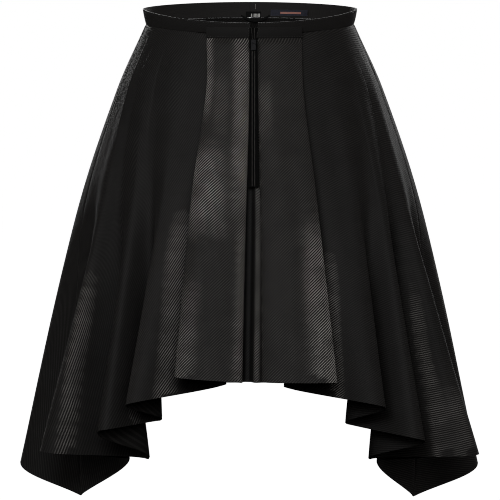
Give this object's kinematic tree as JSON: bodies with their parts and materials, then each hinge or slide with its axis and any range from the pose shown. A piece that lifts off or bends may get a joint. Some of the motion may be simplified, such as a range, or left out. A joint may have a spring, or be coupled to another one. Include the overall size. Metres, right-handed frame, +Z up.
{
  "type": "pleated skirt",
  "caption": "Flared pleated skirt in black twill with an open waist, inverted front pleat under a zip, soft flares and a handkerchief hem that points down at each side.",
  "frame": {"origin": "middle of the waist, at the height of the waist seam on the sides", "axes": "+Z up out of the waist opening, front of the skirt to -Y, the wearer's left to +X"},
  "size_m": [0.552, 0.4243, 0.5889],
  "materials": {
    "twill": "matt steep twill with a faint sheen on its ribs",
    "band": "matt twill",
    "zip_tape": "matt woven tape",
    "zip_metal": "black nickel, satin",
    "label": "damask woven label, navy",
    "tab": "woven ribbon, black"
  },
  "bodies": {
    "skirt": {"front_panel_left": "twill", "front_panel_right": "twill", "pleat_underlay": "twill", "side_front_left": "twill", "side_front_right": "twill", "back_left": "twill", "back_right": "twill", "waistband_left": "band", "waistband_right": "band", "centre_band_left": "band", "centre_band_right": "band", "zip_tape_left": "zip_tape", "zip_tape_right": "zip_tape", "zip_slider": "zip_metal", "woven_label": "label", "size_tab": "tab", "hanger_loop": "tab"},
    "pull_tab": {"zip_pull": "zip_metal"}
  },
  "joints": [
    {"name": "zip_pull_swing", "type": "hinge", "parent": "skirt", "child": "pull_tab", "pos_m": [0.00405, -0.10154, -0.0172], "axis": [-1, 0, 0], "range_deg": [0, 150]}
  ]
}
